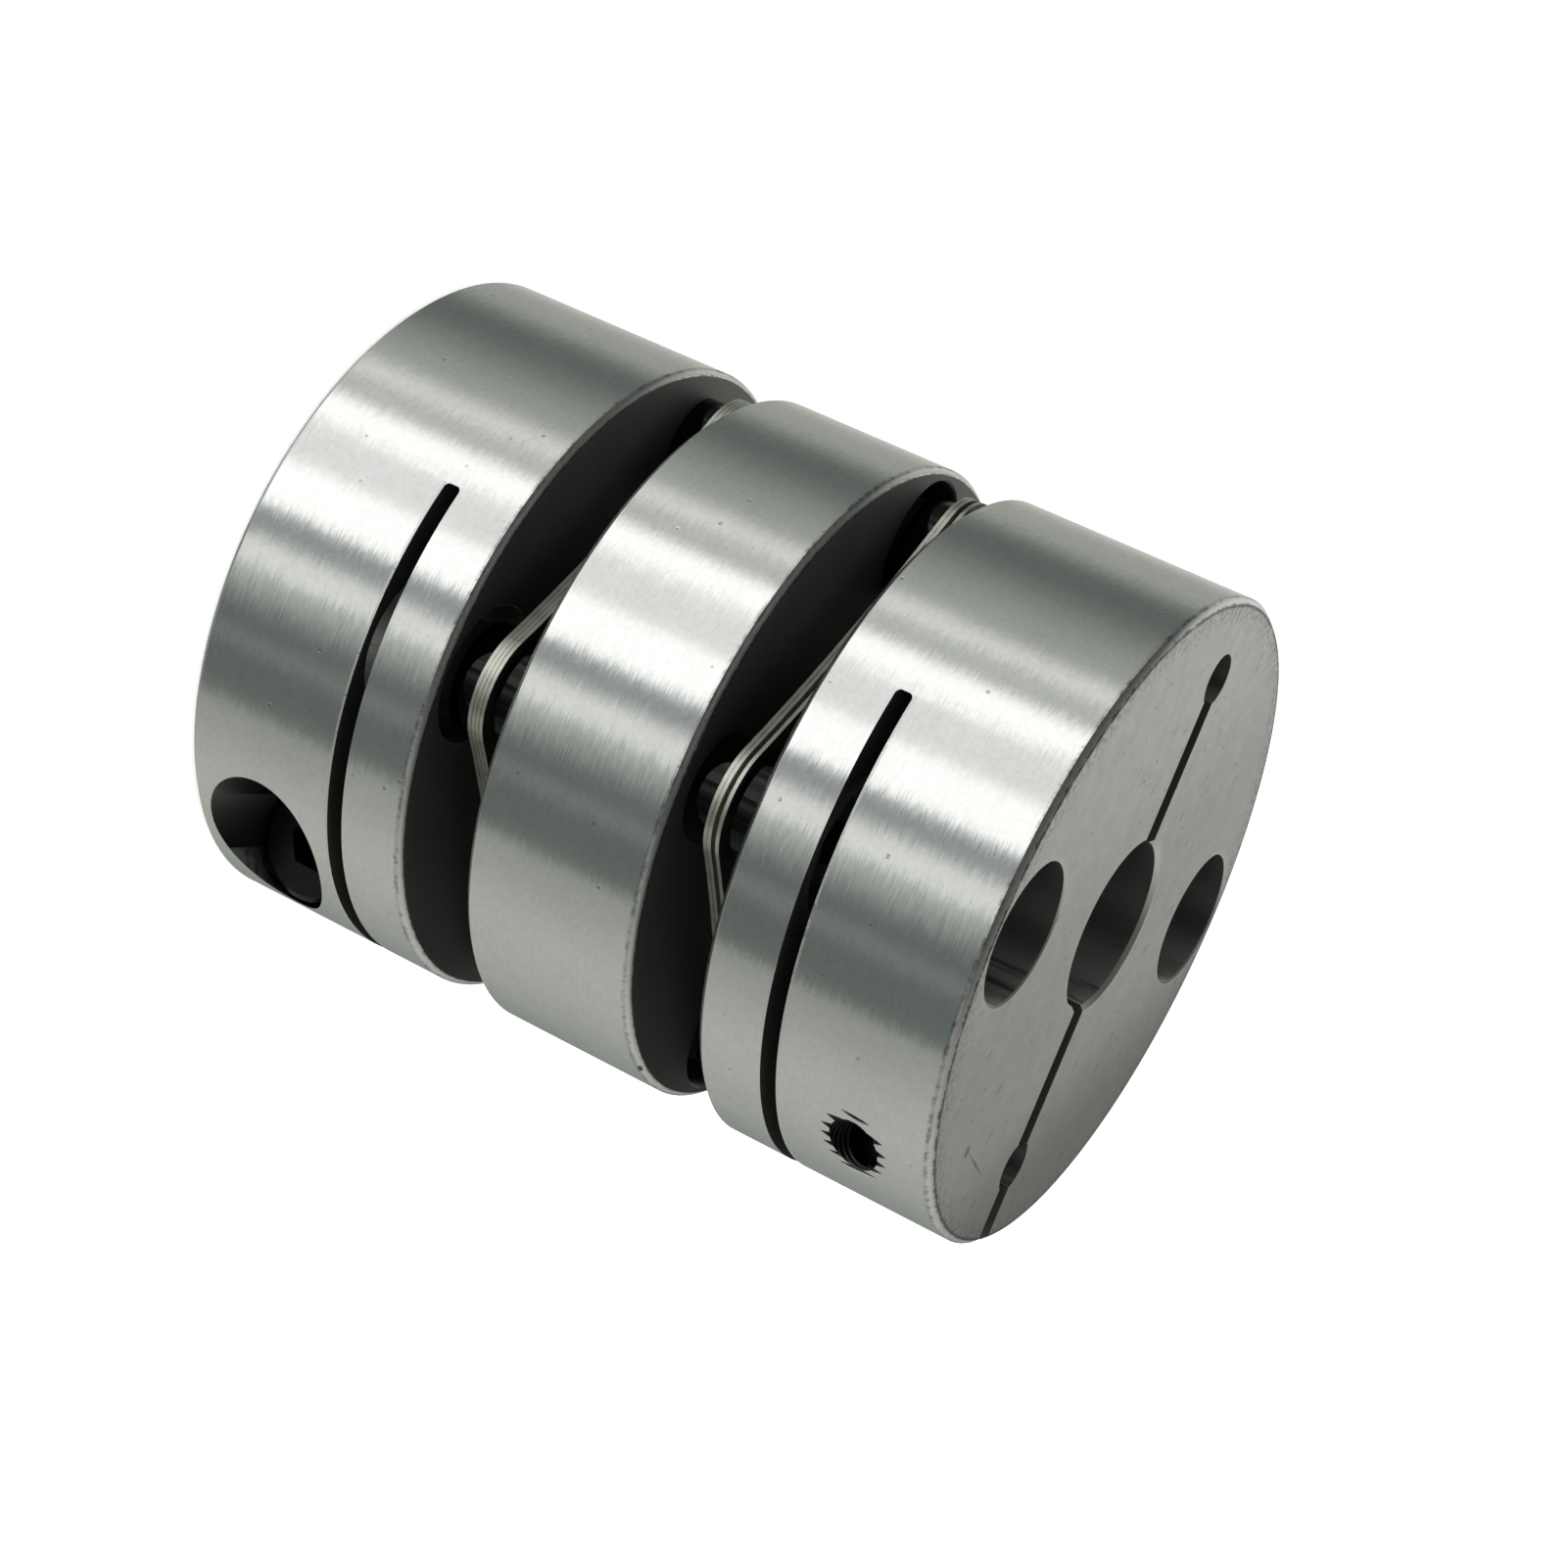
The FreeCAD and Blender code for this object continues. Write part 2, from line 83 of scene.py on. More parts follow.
class Recipe:
    """A node tree, written as the amounts and colours that it mixes."""

    def __init__(self, tree):
        self.tree = tree
        tree.nodes.clear()

    def add(self, kind, settings=None, inputs=None, output=0):
        node = self.tree.nodes.new(kind)
        for name, setting in (settings or {}).items():
            setattr(node, name, setting)
        for place, source in (inputs or {}).items():
            if isinstance(source, Amount):
                self.tree.links.new(source.socket, node.inputs[place])
            else:
                node.inputs[place].default_value = source
        if node.outputs:
            return Amount(self, node.outputs[output])

    def math(self, operation, *values):
        return self.add("ShaderNodeMath", {"operation": operation}, dict(enumerate(values)))

    def vector_math(self, operation, *values):
        return self.add("ShaderNodeVectorMath", {"operation": operation}, dict(enumerate(values)))

    def scaled(self, vector, factor):
        return self.add("ShaderNodeVectorMath", {"operation": "SCALE"}, {0: vector, "Scale": factor})

    def dot(self, first, second):
        return self.add("ShaderNodeVectorMath", {"operation": "DOT_PRODUCT"}, {0: first, 1: second}, "Value")

    def split(self, vector):
        first = self.add("ShaderNodeSeparateXYZ", inputs={0: vector})
        return [Amount(self, socket) for socket in first.socket.node.outputs]

    def joined(self, x, y, z):
        return self.add("ShaderNodeCombineXYZ", inputs={0: x, 1: y, 2: z})

    def mix(self, share, first, second):
        return self.add("ShaderNodeMix", {"data_type": "RGBA"}, {0: share, 6: first, 7: second}, 2)

    def mix_vectors(self, share, first, second):
        return self.add("ShaderNodeMix", {"data_type": "VECTOR"}, {0: share, 4: first, 5: second}, 1)

    def most(self, *amounts):
        """The largest of several amounts."""
        largest, *others = amounts
        for other in others:
            largest = self.math("MAXIMUM", largest, other)
        return largest

    def distance(self, x, y):
        return self.math("SQRT", x * x + y * y)

    def fade(self, value, low, high):
        """Rises smoothly from 0 to 1 as the value goes from low to high."""
        return self.add("ShaderNodeMapRange", {"interpolation_type": "SMOOTHSTEP"},
                        {"Value": value, "From Min": low, "From Max": high})

    def noise(self, vector, scale, detail=2.0, roughness=0.5):
        return self.add("ShaderNodeTexNoise", inputs={
            "Vector": vector, "Scale": scale, "Detail": detail, "Roughness": roughness})

    def cells(self, vector, scale):
        """Distance to the nearest of many points strewn through space."""
        return self.add("ShaderNodeTexVoronoi", inputs={"Vector": vector, "Scale": scale})


class Finish(Recipe):
    """The finish of one kind of piece, with its places in millimetres."""

    def __init__(self, name):
        self.material = bpy.data.materials.new(name)
        self.material.use_nodes = True
        super().__init__(self.material.node_tree)
        self.place = self.scaled(self.add("ShaderNodeTexCoord", output="Object"), 1000)
        self.normal = self.add("ShaderNodeNewGeometry", output="Normal")

    def drawn_out(self, scales, detail, roughness=0.5):
        """Noise with a scale of its own along X, Y and Z."""
        return self.noise(self.vector_math("MULTIPLY", self.place, scales), 1.0, detail, roughness)

    def metal(self, **inputs):
        """A shader from its sockets' names, with a low line for each space."""
        named = {name.replace("_", " "): source for name, source in inputs.items()}
        return self.add("ShaderNodeBsdfPrincipled", inputs=named)

    def blended(self, share, first, second):
        return self.add("ShaderNodeMixShader", inputs={0: share, 1: first, 2: second})

    def surface(self, shader):
        self.add("ShaderNodeOutputMaterial", inputs={"Surface": shader})

    def apply(self, *nodes):
        for node in nodes:
            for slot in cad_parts[node].material_slots:
                slot.material = self.material


# Sizes in millimetres; those of the slot are counted from the hub's end face
BODY_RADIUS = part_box("centre_spacer")[1][0] * 1000
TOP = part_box("upper_clamp_hub")[1][2] * 1000
RIM_CHAMFER = 0.35
PITCH_RADIUS = 14.7
BORE_RADIUS = 5.0
ACCESS_RADIUS = 4.1
SLIT_HALF_WIDTH = 0.75
WEB_THICKNESS = 10.3
SLOT_EDGE = 9.65
SLOT_WIDTH = 1.0

ALUMINIUM = (0.87, 0.87, 0.865, 1)
ALUMINIUM_DULLED = (0.77, 0.775, 0.76, 1)
SATIN_LIGHT = (0.90, 0.915, 0.88, 1)
SATIN_DARK = (0.74, 0.76, 0.72, 1)
WORN_AND_HIGHLIGHT_BRIGHT = (0.97, 0.98, 0.95, 1)
DIRT_AND_EDGE_SHADE = (0.07, 0.07, 0.06, 1)
# Painted light and shade inside the holes: light on the lit side, darker and darkest away from it, and one
# shade by the gaps
BORED_LIGHT = (0.93, 0.94, 0.91, 1)
BORED_BY_GAP = (0.36, 0.368, 0.352, 1)
BORED_DARK = (0.29, 0.295, 0.285, 1)
BORED_DARKEST = (0.15, 0.153, 0.148, 1)
# Painted shade for the flat sides towards the gaps, from lightest to deepest
GAP_SHADE_LIGHT = (0.41, 0.42, 0.405, 1)
GAP_SHADE = (0.24, 0.247, 0.237, 1)
GAP_SHADE_DEEP = (0.10, 0.103, 0.098, 1)

# How a flat face, a rim and a wall are known by the way they face, and how near they are to their place
FLAT_UPRIGHT = 0.9
RIM_UPRIGHT = 0.5
RIM_OUTWARDS = 0.6
RIM_SLACK = 0.02
WALL_OUTWARDS = 0.97
WALL_SLACK = 0.1
END_FACE_SLACK = 0.1
MOUTH_DEPTH = 0.3

# How far the rings of the tool lean the wall, and how the rolled rim turns from the wall to the face
RING_LEAN = 0.03
FINE_RING_LEAN = 0.055
ROLL_START = math.radians(15)
ROLL_TURN = math.radians(58)

# Roughness of the wall, what the rings, the rims and the holes add to it, and that of the flat faces
TURNED_ROUGHNESS = 0.19
RING_ROUGHNESS = 0.03
RIM_ROUGHNESS = 0.06
BORED_ROUGHNESS = 0.3
LIT_SIDE_ROUGHNESS = 0.25
GAP_SIDE_ROUGHNESS = 0.60
SATIN_ROUGHNESS = 0.45

# The rings draw reflections out along the axis
RING_STRETCH = 0.8
QUARTER_TURN = 0.25

# Grain, pits and knocks: how strongly they show, and how deep they are in metres
GRAIN_STRENGTH = 0.5
GRAIN_DEPTH = 0.00004

# Marks on the end face: place in x and y, reach along and across, angle, and how dark the mark is.
# The two dark ones are a dent and a scratch, and those fainter than FAINT_MARK are broken up into flecks.
FACE_MARKS = (
    (12.9, -9.3, 0.45, 0.32, 0.0, 0.7),
    (13.9, -7.0, 2.3, 0.07, 66.0, 0.7),
    (-8.8, -6.0, 2.2, 0.5, 80.0, 0.3),
    (-11.4, 5.3, 2.2, 0.4, 70.0, 0.3),
    (-7.9, 7.0, 3.0, 0.6, 75.0, 0.3),
    (6.4, -3.5, 1.6, 0.4, 60.0, 0.3),
)
FAINT_MARK = 0.5

# Marks on the walls: place in x, y and z, reach round the wall, and height
WALL_NICKS = (
    (17.2, -9.18, 29.7, 0.45, 0.12),
)
WALL_SCRATCHES = (
    (-11.8, -15.5, 19.35, 1.3, 0.05),
    (0.4, -19.5, 13.3, 0.9, 0.06),
    (-4.2, -19.0, 12.1, 1.5, 0.04),
)


class TurnedFinish(Finish):
    """Turned aluminium, with the kinds of surface that a point can lie on."""

    def __init__(self, node, end_height):
        super().__init__(node + "_finish")
        self.x, self.y, self.z = self.split(self.place)
        self.facing_x, _, self.upright = self.split(self.normal)
        self.radius = self.distance(self.x, self.y)
        self.outwards = self.joined(self.x / self.radius, self.y / self.radius, 0)
        self.low_face, self.high_face = [corner[2] * 1000 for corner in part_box(node)]

        # A point is on a flat face, the rolled rim or the outer wall, or it is inside a hole or slot
        facing_out = self.dot(self.normal, self.outwards)
        tilted = abs(self.upright) > RIM_UPRIGHT
        self.flat = abs(self.upright) > FLAT_UPRIGHT
        self.rim = ((1 - self.flat) * tilted * (facing_out > RIM_OUTWARDS)
                    * (self.radius > BODY_RADIUS - RIM_CHAMFER - RIM_SLACK))
        self.wall = (facing_out > WALL_OUTWARDS) * (self.radius > BODY_RADIUS - WALL_SLACK)
        self.outside = self.most(self.wall, self.rim)
        self.inside = (1 - self.flat) * (1 - self.outside)

        # Only a hub has an end face, with the mouths of its holes, and a slot
        self.end_face = 0
        self.mouth = 0
        self.by_gap = self.inside
        if end_height is not None:
            self.depth = abs(self.z - end_height)
            self.end_face = self.flat * (self.depth < END_FACE_SLACK)
            self.mouth = self.inside * tilted * (self.depth < MOUTH_DEPTH)
            self.by_gap = self.inside * (self.depth > SLOT_EDGE + SLOT_WIDTH)

        # Patterns that several marks follow
        self.across_rim = (BODY_RADIUS - self.radius) / RIM_CHAMFER
        self.rings = self.drawn_out((0.5, 0.5, 6.5), 3.0, 0.6)
        self.fine_rings = self.drawn_out((1.0, 1.0, 14.0), 2.0)
        self.ragged = self.noise(self.place, 2.2, 3.0, 0.65)
        self.speckle = self.noise(self.place, 3.0, 3.0, 0.6)


def turned_normal(finish):
    """The wall leans a little to one side along each ring, and the rim is rolled over to the face."""
    lean = (finish.rings - 0.5) * RING_LEAN + (finish.fine_rings - 0.5) * FINE_RING_LEAN
    along_ring = finish.joined(finish.y / finish.radius * -1, finish.x / finish.radius, 0)
    leaned = finish.vector_math("NORMALIZE", finish.vector_math(
        "ADD", finish.normal, finish.scaled(along_ring, lean * finish.wall)))
    tilt = ROLL_START + finish.math("SQRT", finish.most(finish.across_rim, 0.0)) * ROLL_TURN
    rolled = finish.vector_math(
        "ADD", finish.scaled(finish.outwards, finish.math("COSINE", tilt)),
        finish.joined(0, 0, finish.math("SIGN", finish.upright) * finish.math("SINE", tilt)))
    return finish.mix_vectors(finish.rim, leaned, rolled)


def rim_lines(finish):
    """Dark ragged lines where the upper rim meets the wall, and painted shade as dark lines where both rims
    meet their faces.
    """
    blotches = finish.noise(finish.place, 1.5, 4.0, 0.65)
    from_wall_edge = abs(abs(finish.z - finish.high_face) - RIM_CHAMFER - RIM_SLACK)
    wall_line = ((1 - finish.fade(from_wall_edge, 0.02, 0.19))
                 * (0.25 + finish.fade(blotches, 0.45, 0.62) * 0.75))
    face_line = finish.fade(finish.across_rim + (finish.ragged - 0.5) * 0.9, 0.78, 0.96)
    return finish.most(finish.outside * wall_line * 0.6, finish.rim * face_line * 0.75)


def slot_edge_highlight(finish):
    """A painted highlight along the slot's edge towards the end face: a light broken line, up to where the
    slot stops.
    """
    beside_slot = 1 - finish.fade(abs(finish.depth - SLOT_EDGE + 0.07), 0.05, 0.11)
    broken = finish.fade(finish.ragged, 0.36, 0.46)
    return finish.wall * beside_slot * broken * (finish.x > WEB_THICKNESS - BODY_RADIUS)


def rim_highlight(finish):
    """A painted highlight: a light line in the middle of the rims beside the gaps."""
    across = finish.across_rim
    return finish.rim * finish.fade(across, 0.45, 0.6) * (1 - finish.fade(across, 0.8, 0.95))


def wall_marks(finish, marks):
    """How strongly the marks that lie on this piece show."""
    shown = finish.outside * 0
    for mark_x, mark_y, mark_z, reach, height in marks:
        if finish.low_face < mark_z < finish.high_face:
            off_x = (finish.x - mark_x) / reach
            off_y = (finish.y - mark_y) / reach
            off_z = (finish.z - mark_z) / height
            away = off_x * off_x + off_y * off_y + off_z * off_z + (finish.ragged - 0.5) * 1.5
            shown = finish.most(shown, (1 - finish.fade(away, 0.5, 1.1)) * finish.outside)
    return shown


def face_marks(finish):
    """Painted shade as a dark line along the face's edge, and the dent, the scratch and the faint flecked
    marks.
    """
    flecks = finish.drawn_out((2.0, 4.5, 1.0), 3.0, 0.6)
    rim_start = BODY_RADIUS - RIM_CHAMFER
    ragged_radius = finish.radius + (finish.ragged - 0.5) * 0.45
    shown = finish.fade(ragged_radius, rim_start - 0.26, rim_start - 0.03) * 0.8
    for mark_x, mark_y, reach, breadth, angle, darkness in FACE_MARKS:
        turned = math.radians(angle)
        off_x = finish.x - mark_x
        off_y = finish.y - mark_y
        along = (off_x * math.cos(turned) + off_y * math.sin(turned)) / reach
        across = (off_y * math.cos(turned) - off_x * math.sin(turned)) / breadth
        away = along * along + across * across + (finish.speckle - 0.5) * 3.2
        mark = (1 - finish.fade(away, -0.1, 1.3)) * darkness
        if darkness < FAINT_MARK:
            mark = mark * finish.fade(flecks, 0.5, 0.62)
        shown = finish.most(shown, mark)
    return shown


def worn_hole_edges(finish):
    """The face shines where it is worn round the bore, the access holes and the slit."""
    from_access = finish.distance(finish.x, abs(finish.y) - PITCH_RADIUS)
    by_bore = finish.fade(finish.radius, BORE_RADIUS + 0.75, BORE_RADIUS + 0.35)
    by_access = finish.fade(from_access, ACCESS_RADIUS + 0.5, ACCESS_RADIUS + 0.15)
    by_slit = finish.fade(abs(abs(finish.y) - SLIT_HALF_WIDTH), 0.35, 0.1)
    return finish.most(by_bore, by_access, by_slit * 0.6)


def satin_colour(finish, pits):
    """The end face: mottled, painted darker to one side as shade, tired by the rim, and with scuffs, pits
    and marks.
    """
    x = finish.x
    y = finish.y
    mottle = finish.noise(finish.place, 0.8, 2.0, 0.5)
    mottling = (mottle - 0.5) * 1.3 + (finish.speckle - 0.5) * 0.9 + 0.3
    satin = finish.mix(mottling, SATIN_LIGHT, SATIN_DARK)
    satin = finish.mix(worn_hole_edges(finish) * 0.45, satin, WORN_AND_HIGHLIGHT_BRIGHT)
    # Painted shade: the face darkens towards +X and a little towards +Y
    rightwards = x * 0.87 + y * 0.5
    side_painted_shade = ((1 - finish.fade(rightwards, -13.0, 0.0) * 0.15)
              * (1 - finish.fade(rightwards, 6.0, 17.0) * 0.46))
    scuff_place = finish.vector_math(
        "MULTIPLY", finish.joined(x * 0.6 + y, y * 0.6 - x, finish.z), (1.3, 0.5, 1.0))
    scuffs = 1 - finish.fade(finish.cells(scuff_place, 0.55), 0.07, 0.16)
    tired = (finish.fade(finish.radius, BODY_RADIUS - 2.2, BODY_RADIUS - 0.4)
             * finish.fade(finish.speckle, 0.42, 0.66))
    # Pits, scuffs, the tired zone and the marks are dirt and wear; the line along the face's edge is painted
    # shade
    face_dirt_and_edge_shade = finish.most(pits * 0.5, scuffs * 0.28, tired * 0.45, face_marks(finish))
    return finish.mix(face_dirt_and_edge_shade, finish.scaled(satin, side_painted_shade), DIRT_AND_EDGE_SHADE)


def bored_colour(finish, lit_side):
    """Holes are painted dark as shade, darker on walls facing +X, with streaks along their depth left light
    as painted light on their lit side.
    """
    streaks = finish.drawn_out((1.5, 1.5, 0.12), 2.0, 0.6)
    bored = finish.mix(finish.fade(finish.facing_x, -0.1, 0.7), BORED_DARK, BORED_DARKEST)
    bored = finish.mix(finish.fade(streaks, 0.24, 0.50) * lit_side, bored, BORED_LIGHT)
    bored = finish.mix(finish.by_gap, bored, BORED_BY_GAP)
    return finish.mix(finish.mouth, bored, WORN_AND_HIGHLIGHT_BRIGHT)


def gap_side_shade(finish):
    """Painted shade on the flat sides towards the gaps: lightest on the web side and deepest on the open
    side.
    """
    gap_side = finish.mix(finish.fade(finish.x, -13.0, -2.0), GAP_SHADE_LIGHT, GAP_SHADE)
    return finish.mix(finish.fade(finish.x, 12.0, 18.5), gap_side, GAP_SHADE_DEEP)


def turned_aluminium(node, end_height=None):
    """Aluminium with lathe rings on its wall; end_height is where its satin end face lies, if it has one."""
    finish = TurnedFinish(node, end_height)
    wall = finish.wall
    end_face = finish.end_face
    grain = finish.noise(finish.place, 9.0, 4.0, 0.7)
    pits = 1 - finish.fade(finish.cells(finish.place, 0.9), 0.04, 0.12)
    knocks = (1 - finish.fade(finish.cells(finish.place, 0.5), 0.03, 0.075)) * 0.7
    height = end_face * (grain * 0.5 - pits * 0.8) - wall * knocks * 0.5
    bumped = finish.add("ShaderNodeBump", inputs={
        "Strength": GRAIN_STRENGTH, "Distance": GRAIN_DEPTH, "Height": height,
        "Normal": turned_normal(finish)})

    # Light scratches, and the painted highlights along the slot's edge and the rims, show the plain skin of
    # the flat faces, without the rings
    scratches_and_highlights = wall_marks(finish, WALL_SCRATCHES) * 0.5
    if end_height is not None:
        scratches_and_highlights = finish.most(scratches_and_highlights, slot_edge_highlight(finish) * 0.7)
    if end_height != TOP:
        scratches_and_highlights = finish.most(scratches_and_highlights, rim_highlight(finish) * 0.4)

    # Wall and rims are bright, and the holes and slots are painted dark as shade, with painted light on
    # their lit side
    clouds = finish.noise(finish.place, 0.22, 3.0, 0.6)
    mottling = (clouds - 0.5) * 1.2 + (finish.fine_rings - 0.5) * 1.6 + (finish.speckle - 0.5) * 2.2 + 0.3
    # Nicks, knocks and the rims' lines darken wall and rims; where the rims meet their faces the dark line
    # is painted shade
    wall_dirt_and_edge_shade = finish.most(rim_lines(finish), wall_marks(finish, WALL_NICKS), knocks * wall * 0.5)
    bright = finish.mix(wall_dirt_and_edge_shade, finish.mix(mottling, ALUMINIUM, ALUMINIUM_DULLED), DIRT_AND_EDGE_SHADE)
    lit_side = finish.fade(finish.facing_x, -0.15, -0.75)
    roughness = (TURNED_ROUGHNESS + finish.rings * RING_ROUGHNESS + finish.rim * RIM_ROUGHNESS
                 + finish.inside * BORED_ROUGHNESS + finish.inside * lit_side * LIT_SIDE_ROUGHNESS)
    turned_skin = finish.metal(
        Base_Color=finish.mix(finish.outside, bored_colour(finish, lit_side), bright), Roughness=roughness,
        Metallic=1.0, Normal=bumped, Anisotropic=RING_STRETCH, Anisotropic_Rotation=QUARTER_TURN)

    # The flat faces have no rings that could draw out their reflections
    # The flat sides towards the gaps are painted dark as shade
    plain_colour = gap_side_shade(finish)
    if end_height is not None:
        plain_colour = finish.mix(end_face, plain_colour, satin_colour(finish, pits))
    plain_skin = finish.metal(
        Base_Color=finish.mix(scratches_and_highlights > 0.01, plain_colour, WORN_AND_HIGHLIGHT_BRIGHT),
        Roughness=GAP_SIDE_ROUGHNESS + end_face * (SATIN_ROUGHNESS - GAP_SIDE_ROUGHNESS),
        Metallic=1.0, Normal=bumped)
    finish.surface(finish.blended(finish.most(finish.flat, scratches_and_highlights), turned_skin, plain_skin))
    finish.apply(node)


turned_aluminium("upper_clamp_hub", TOP)
turned_aluminium("lower_clamp_hub", 0.0)


# Centre spacer: a ring of the same bar between the two packs, faced and chamfered like the hubs.
# Its flat sides only look into the gaps and are painted dark as shade.
turned_aluminium("centre_spacer")


# Leaves: blanked from cold rolled stainless strip and stacked four to a pack.
# The sheared edges shine and are slightly warm, and the flat sides, which look into the gaps, are painted
# dark as shade.
LEAVES = [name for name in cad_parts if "leaf" in name]
PACK_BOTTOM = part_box("lower_leaf_1")[0][2] * 1000
LEAF_THICKNESS = 0.25

SHEARED_LIGHT = (0.82, 0.805, 0.72, 1)
SHEARED_DARK = (0.56, 0.55, 0.485, 1)
LEAF_JOINT = (0.05, 0.05, 0.04, 1)
# The flat sides are painted dark as shade
LEAF_SIDE_SHADE = (0.30, 0.30, 0.28, 1)
LEAF_ROUGHNESS = 0.34
LEAF_GRAIN_ROUGHNESS = 0.10

leaf_steel = Finish("leaf_finish")
leaf_flat = abs(leaf_steel.split(leaf_steel.normal)[2]) > FLAT_UPRIGHT
leaf_grain = leaf_steel.drawn_out((0.4, 6.0, 0.4), 3.0)
leaf_shear = leaf_steel.noise(leaf_steel.place, 1.3, 3.0, 0.6)
leaf_layer = (leaf_steel.split(leaf_steel.place)[2] - PACK_BOTTOM) / LEAF_THICKNESS
from_middle = abs(leaf_steel.math("FRACT", leaf_layer) - 0.5)
between_leaves = leaf_steel.fade(from_middle + (leaf_shear - 0.5) * 0.25, 0.36, 0.47)
sheared = leaf_steel.mix(leaf_shear, SHEARED_LIGHT, SHEARED_DARK)
sheared = leaf_steel.mix(between_leaves * 0.8, sheared, LEAF_JOINT)
leaf_steel.surface(leaf_steel.metal(
    Base_Color=leaf_steel.mix(leaf_flat, sheared, LEAF_SIDE_SHADE),
    Roughness=LEAF_ROUGHNESS + LEAF_GRAIN_ROUGHNESS * leaf_grain, Metallic=1.0))
leaf_steel.apply(*LEAVES)


# Collars: short rings of black finished steel, turned and polished, one on each side of every lobe.
# They hold the pack in the middle of its gap and only glint where they mirror the window.
COLLARS = [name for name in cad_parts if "collar" in name]
COLLAR_BLACK = (0.015, 0.016, 0.015, 1)
COLLAR_RUBBED = (0.030, 0.031, 0.030, 1)
COLLAR_ROUGHNESS = 0.05
COLLAR_RING_ROUGHNESS = 0.02

collar_steel = Finish("collar_finish")
collar_rings = collar_steel.drawn_out((0, 0, 9), 2.0)
collar_steel.surface(collar_steel.metal(
    Base_Color=collar_steel.mix(collar_rings, COLLAR_BLACK, COLLAR_RUBBED),
    Roughness=COLLAR_ROUGHNESS + COLLAR_RING_ROUGHNESS * collar_rings, Metallic=1.0))
collar_steel.apply(*COLLARS)


# Pack screws and clamp screws: socket head screws of black oxidised steel.
# The pack screws sit deep in the holes of the hubs and the spacer, the clamp screws across the slits,
# and the pack screws are painted lighter, as painted light in those dark holes.
CLAMP_SCREWS = [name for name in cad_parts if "clamp_screw" in name]
PACK_SCREWS = [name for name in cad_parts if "pack_screw" in name]
OXIDE_BLACK = (0.018, 0.019, 0.020, 1)
OXIDE_GREY = (0.036, 0.037, 0.038, 1)
# Painted light: the pack screws are lighter than the clamp screws, to lift the dark of their holes
LIT_OXIDE_DARK = (0.11, 0.113, 0.115, 1)
LIT_OXIDE_LIGHT = (0.18, 0.184, 0.186, 1)
OXIDE_ROUGHNESS = 0.30
OXIDE_CLOUD_ROUGHNESS = 0.15
OXIDE_METALLIC = 0.9


def oxidised_steel(name, dark, light):
    """Black oxide in clouds between two colours."""
    finish = Finish(name)
    cloud = finish.noise(finish.place, 1.4, 4.0, 0.6)
    finish.surface(finish.metal(
        Base_Color=finish.mix(cloud, dark, light),
        Roughness=OXIDE_ROUGHNESS + OXIDE_CLOUD_ROUGHNESS * cloud, Metallic=OXIDE_METALLIC))
    return finish


oxidised_steel("clamp_screw_finish", OXIDE_BLACK, OXIDE_GREY).apply(*CLAMP_SCREWS)
oxidised_steel("pack_screw_finish", LIT_OXIDE_DARK, LIT_OXIDE_LIGHT).apply(*PACK_SCREWS)


# Tapped ends of the clamp screw holes: the thread runs out through the wall of the hub,
# so its turns are cut off slantwise there and leave a toothed rim round the mouth.
# The thread's aluminium turns are painted near black as shade inside the hole; their cut ends at the wall
# keep the aluminium colour
THREAD_SHADE_DARK = (0.03, 0.031, 0.03, 1)
THREAD_SHADE_LIGHT = (0.09, 0.092, 0.088, 1)
THREAD_ROUGHNESS = 0.28
THREAD_CLOUD_ROUGHNESS = 0.08

tapped = Finish("tapped_finish")
tapped_x, tapped_y, _ = tapped.split(tapped.place)
tapped_radius = tapped.distance(tapped_x, tapped_y)
thread_cloud = tapped.noise(tapped.place, 2.0, 3.0, 0.6)
thread_shade = tapped.mix(thread_cloud, THREAD_SHADE_DARK, THREAD_SHADE_LIGHT)
thread_end = tapped_radius > BODY_RADIUS - RIM_SLACK
tapped.surface(tapped.metal(
    Base_Color=tapped.mix(thread_end, thread_shade, ALUMINIUM),
    Roughness=THREAD_ROUGHNESS + THREAD_CLOUD_ROUGHNESS * thread_cloud, Metallic=1.0))

# Sizes of the thread in metres. Its turns reach out to a share of the hub's radius along Y, which is past
# the wall there, and are cut off at the wall.
THREAD_PITCH = 0.0007
THREAD_CREST_RADIUS = 0.0015
THREAD_CREST_WIDTH = 0.4 * THREAD_PITCH
THREAD_ROOT_RADIUS = 0.00208
THREAD_ROOT_WIDTH = 0.97 * THREAD_PITCH
THREAD_STEPS = 40
THREAD_REACH = 0.8
SCREW_POINT_CLEARANCE = 0.0003
WALL_RADIUS = BODY_RADIUS / 1000
WALL_STEPS = 360


def shown_mesh(name, mesh):
    """Puts a finished mesh into the scene as an object."""
    data = bpy.data.meshes.new(name)
    mesh.to_mesh(data)
    mesh.free()
    shown = bpy.data.objects.new(name, data)
    bpy.context.collection.objects.link(shown)
    return shown


